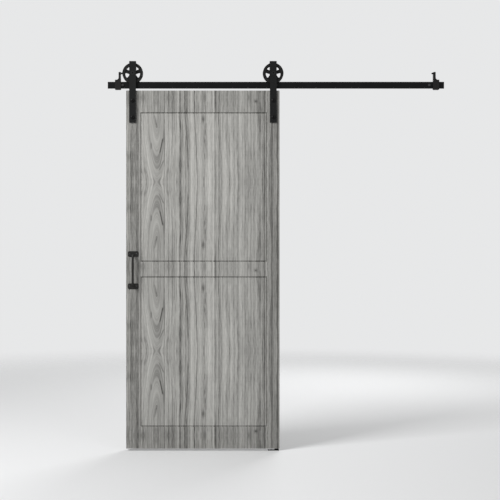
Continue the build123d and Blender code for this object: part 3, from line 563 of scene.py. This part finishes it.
def oak_print(film, contrast):
    """The print's tone, from 0 dark to 1 pale, and its lines and fibre for the relief.

    The grain at a point is the radius of the year ring there, sqrt(off^2 + heart^2). Off is the
    distance from the flame's axis and heart is how deep the trunk's heart lies below the sheet. It
    lies deepest at the mirror line and rises as the trunk leans, so each ring turns at a tip near
    the axis and opens away from the mirror line. Each layer is a noise read on that radius and
    drawn out along the leaf.
    """
    # On the leaf's top and foot the print runs sideways.
    leaf_end = film.nz.size().step(0.93, 0.97)
    up = (film.z - REPEAT_FOOT).math("PINGPONG", REPEAT).towards(film.x * 0.5, leaf_end)
    across = (film.x + film.y).towards(film.y, leaf_end) - DOOR_FACE_Y
    away = REPEAT - up
    sway = film.noise(film.at(across * 9.0, 0.0, up * 3.0), detail=1.0) - 0.5
    shiver = film.noise(film.at(across * 50.0, 3.0, up * 12.0), detail=1.0) - 0.5
    wavy = across + sway * 0.022 + shiver * 0.005
    steady = across + sway * 0.008 + shiver * 0.008

    off = wavy + away * 0.012 - FLAME_X
    rise = (away * away + 0.0006).math("SQRT") * HEART_RISE
    uneven = film.noise(film.at(across * 14.0, 5.0, up * 5.0), detail=1.0) * 0.007
    heart = (uneven - rise + HEART_DEPTH).top(0.004)
    grain = (off * off + heart * heart * (1.0 - off.size().step(0.05, 0.15))).math("SQRT")

    # The lines part round the knot.
    knot_off = wavy - KNOT_X
    knot_up = up - KNOT_UP
    by_knot = knot_off * knot_off * 6000.0 + knot_up * knot_up * 900.0
    grain = grain - knot_off * (by_knot * -1.0).math("EXPONENT") * 0.8

    other_side = off.step(0.07, 0.20) * 4.0

    def layer(lines_a_metre, seed, breaks_a_metre, detail, rough=0.5):
        """A noise around 0 on the grain. The flame's two sides read it at different depths."""
        point = film.at(grain * lines_a_metre, other_side + seed, up * breaks_a_metre)
        return film.noise(point, detail=detail, rough=rough) - 0.5

    broad = layer(14.0, 7.0, 1.0, 1.0)
    bands = layer(60.0, 11.0, 1.6, 2.0)
    lines = layer(170.0, 17.0, 2.8, 4.0, rough=0.6)
    flecks = layer(240.0, 29.0, 19.0, 1.0, rough=0.6)
    fibre = layer(900.0, 23.0, 14.0, 2.0, rough=0.7)
    pores = layer(1500.0, 3.0, 48.0, 0.0).step(0.10, 0.20)
    patchy = film.noise(film.at(grain * 30.0, 31.0, up * 5.0), detail=1.0).step(0.30, 0.62)
    flame = (1.0 - off.size().step(0.036, 0.060)) * away.step(0.02, 0.07)
    flame = flame * (1.0 - away.step(0.30, 0.46))

    tone = broad * (flame * -0.15 + 0.55) + bands * (flame * -0.45 + 1.0)
    tone = tone + lines * (flame * -0.20 + 0.95) + flecks * (flame * -0.60 + 0.60)
    tone = tone + fibre * (flame * -0.18 + 0.40)
    for fine, level, half, change in HAIRLINES:
        hairline = 1.0 - (layer(fine, fine, 1.4, 0.0) - level).size().step(0.0, half)
        tone = tone - hairline * patchy * change
    tone = tone * contrast + 0.60 - pores * (flame * -0.10 + 0.13)

    drifting = steady + away * 0.05
    tone = tone + sum(steady.ridge(place, half) * change for place, half, change in BANDS)
    marks = sum(steady.ridge(place, half) * change for place, half, change in STREAKS)
    marks = marks + sum(drifting.ridge(place, half) * change for place, half, change in DRIFTING)
    for place, height, lean, half, change in STROKES:
        stroke = (across - (away - height) * lean + shiver * 0.003).ridge(place, 0.006)
        marks = marks + stroke * away.between(height - half, height + half, 0.018) * change
    tone = tone + marks * (patchy * 0.8 + 0.5)

    # In the flame each ring darkens outwards and then stops, more so on the right.
    ring = (grain * 95.0 + broad + 0.90).math("FRACT")
    ring = ring.power(3.0) * (1.0 - ring.step(0.86, 1.0))
    tone = tone - ring * flame * (off.step(0.0, 0.03) * 0.22 + 0.10)
    saddle = (1.0 - off.size().step(0.0, 0.06)) * (1.0 - away.step(0.0, 0.11))
    tone = tone - saddle * (grain.ridge(SADDLE_RING, 0.0065) * 0.26 + 0.12)

    # The knot in the panels, and the smaller ones in the three rails.
    tone = tone - (by_knot * -2.0).math("EXPONENT") * 0.46
    above = (film.z - LONE_KNOTS_Z[0]).size()
    for z in LONE_KNOTS_Z[1:]:
        above = above.least((film.z - z).size())
    beside = (wavy - LONE_KNOT_X) * 100.0
    ragged = film.noise(film.at(beside * 3.0, 43.0, above * 260.0), detail=2.0) - 0.5
    from_knot = beside * beside + above * above * 8100.0 + ragged * 0.5
    tone = tone - (from_knot * -1.0).math("EXPONENT") * 0.34
    tone = tone - (1.0 - from_knot.step(0.05, 0.22)) * 0.22
    return tone, lines, fibre


def oak_film():
    """The print in place: stiles and end rails darkened as painted shade, painted shade in the
    rout, a painted highlight along the right edge, and bare cuts.
    """
    film = Finish("grey_oak_film", specular=0.30)
    left_stile = 1.0 - film.x.step(PANELS_LEFT - SEAM_HALF, PANELS_LEFT + SEAM_HALF)
    right_stile = film.x.step(PANELS_RIGHT - SEAM_HALF, PANELS_RIGHT + SEAM_HALF)
    middle = film.x.between(PANELS_LEFT - 0.0005, PANELS_RIGHT, 0.001)
    tone, lines, fibre = oak_print(film, left_stile * 0.05 - right_stile * 0.22 + 1.0)
    top_rail = middle * film.z.step(TOP_RAIL_FOOT - SEAM_HALF, TOP_RAIL_FOOT + SEAM_HALF)
    foot_rail = middle * (1.0 - film.z.step(FOOT_RAIL_TOP - SEAM_HALF, FOOT_RAIL_TOP + SEAM_HALF))
    mid_rail = middle * film.z.between(*MID_RAIL_Z, 0.001)
    # Painted shade: the stiles and end rails are darkened for the light falling off towards the
    # leaf's edges.
    tone = tone - left_stile * 0.22 - right_stile * 0.25
    tone = tone - top_rail * 0.11 - foot_rail * 0.15 - mid_rail * 0.01

    # The film is darker along the left edge and paler at the foot. Along the right edge it is paler
    # as a painted highlight on the arris, and in the routed grooves it is darker as painted shade.
    tone = tone - (1.0 - film.x.step(SLAB_LEFT + 0.002, SLAB_LEFT + 0.005)) * 0.22
    # Painted highlight: the right arris is made paler, as if it caught the light.
    tone = tone + film.x.step(SLAB_RIGHT - 0.007, SLAB_RIGHT - 0.003) * 0.30
    tone = tone + (1.0 - film.z.step(SLAB_FOOT + 0.004, SLAB_FOOT + 0.008)) * 0.10
    depth = (film.y - SLAB_MID_Y).size()
    # Painted shade: the groove walls and floor are darkened for the shade down in the rout.
    groove_painted_shade = (1.0 - depth.step(0.0132, 0.0158)) * film.ny.size().step(0.2, 0.4)
    groove_painted_shade = groove_painted_shade * film.x.between(-0.82, -0.04, 0.002) * film.z.between(-2.05, -0.15, 0.002)
    tone = tone - groove_painted_shade * 0.36
    paint = film.colour(tone.top(0.0).least(1.0), OAK_DARK, OAK_PALE)

    # The slot for the floor guide, and the bolt holes straight below the axles.
    slot = 1.0 - depth.step(SLOT_HALF - 0.00003, SLOT_HALF + 0.00003)
    slot = slot * (1.0 - film.z.step(SLOT_TOP - 0.0002, SLOT_TOP + 0.0002))
    holes = 1.0 - nearer_axle(film).step(BOLT_HOLE_R, BOLT_HOLE_R + 0.0004)
    holes = holes * film.z.between(*BOLT_HOLES_Z, 0.0004) * (1.0 - film.ny.size().step(0.3, 0.5))
    bare = (slot + holes).least(1.0)
    board = film.noise(scale=2600, detail=2) * 0.5 + film.noise(scale=300, detail=2) * 0.5
    film.over(paint, bare, BARE_BOARD)
    film.gloss((lines * -0.2 + 0.50).towards(board * 0.1 + 0.82, bare))
    film.relief((fibre + lines).towards(board, bare), 0.00008)
    return film


oak_film().on("door_slab")


# The pull: a 13 mm round bar bent to a D, cast in one with the plate at each foot, black enamelled.
# Two raised countersunk screws hold each plate.

PULL_DARK = (0.0050, 0.0048, 0.0042)
PULL_PALE = (0.028, 0.0275, 0.0255)
TREAD_STEEL = (0.20, 0.20, 0.205)


def cast_iron(name, dark, pale, specular, rough, bare=None):
    """A sand-cast skin under enamel: pebbled, with thinner enamel on the arrises and in patches.

    bare, called with the finish, gives the Tone of where the enamel is worn off.
    """
    skin = Finish(name, specular=specular)
    pebble = skin.noise(scale=420, detail=2, rough=0.6)
    fine = skin.noise(scale=1700, detail=1)
    cloud = skin.noise(scale=30, detail=3)
    thin = skin.arris() * pebble.step(0.42, 0.66)
    paint = skin.colour((cloud * 0.45 + pebble * 0.35 + thin * 0.5).least(1.0), dark, pale)
    roughness = cloud * 0.12 + pebble * 0.12 + rough
    if bare:
        rubbed = bare(skin)
        skin.over(paint, rubbed, TREAD_STEEL)
        roughness = roughness - rubbed * 0.12
    skin.gloss(roughness)
    skin.relief(pebble + fine * 0.3, 0.00010)
    return skin


cast_iron("handle_enamel", PULL_DARK, PULL_PALE, specular=0.22, rough=0.36).on("handle")
black_oxide("handle_screw_oxide", rough=0.24, specular=0.5).on("handle_screws")


# Hangers: each is one length of flat bar folded over its wheel, the long leg bolted to the leaf.
# Domed socket bolts go through strap and leaf into slotted sleeve nuts, and a flush pin with a thin
# nut behind is the axle.

STRAP_DARK = (0.0060, 0.0063, 0.0063)
STRAP_PALE = (0.022, 0.0225, 0.0225)
AXLE_DARK = (0.0060, 0.0062, 0.0062)
AXLE_PALE = (0.026, 0.0265, 0.0265)

# The strap's dust share is about double the default, so its top fold is paler: painted top light
# more than dust.
powder_coat("strap_powder", STRAP_DARK, STRAP_PALE, dust_and_top_light_share=1.5).on(
    "hanger_strap_left", "hanger_strap_right"
)
powder_coat("axle_powder", AXLE_DARK, AXLE_PALE, specular=0.14).on("axle_bolts")
# The bolt heads' colours are divided by five: painted shade standing in for the shaded domes.
black_oxide("bolt_oxide", rough=0.44, specular=0.14, depth=5.0).on("strap_bolts")
zinc.on("strap_nuts", "axle_nuts", "axle_spacers_left", "axle_spacers_right")


# Wheels: cast iron with five ribbed spokes, the groove turned to run on the rail, black enamelled
# before its tread was polished by use. Each hub holds a shielded ball bearing behind a spring ring.

AXLE_Z = 0.0708
TREAD_R = 0.0505
WHEEL_DARK = (0.0030, 0.0030, 0.0030)
WHEEL_PALE = (0.024, 0.024, 0.0235)
RACE_DARK = (0.48, 0.48, 0.48)
RACE_PALE = (0.62, 0.62, 0.62)
CAGE_DARK = (0.30, 0.29, 0.27)
CAGE_PALE = (0.42, 0.41, 0.39)


def rubbed_tread(skin):
    """The flat of the groove that rolls on the rail, by its distance from the nearer axle."""
    nearer = nearer_axle(skin)
    rise = skin.z - AXLE_Z
    radius = (nearer * nearer + rise * rise).math("SQRT")
    tread = radius.between(TREAD_R - 0.0008, TREAD_R + 0.0006, 0.0004)
    return tread * (1.0 - (skin.y - RAIL_MID_Y).size().step(0.0026, 0.0036)) * 0.85


cast_iron(
    "wheel_enamel", WHEEL_DARK, WHEEL_PALE, specular=0.10, rough=0.44, bare=rubbed_tread
).on("wheel_left", "wheel_right")
bright_steel("bearing_steel", RACE_DARK, RACE_PALE, rough=0.12, turned=0.2).on(
    "bearing_inner_left", "bearing_inner_right", "bearing_outer_left", "bearing_outer_right",
    "bearing_balls_left", "bearing_balls_right", "bearing_shields_left", "bearing_shields_right",
)
bright_steel("cage_steel", CAGE_DARK, CAGE_PALE, rough=0.30).on(
    "bearing_cage_left", "bearing_cage_right", "circlip_left", "circlip_right"
)
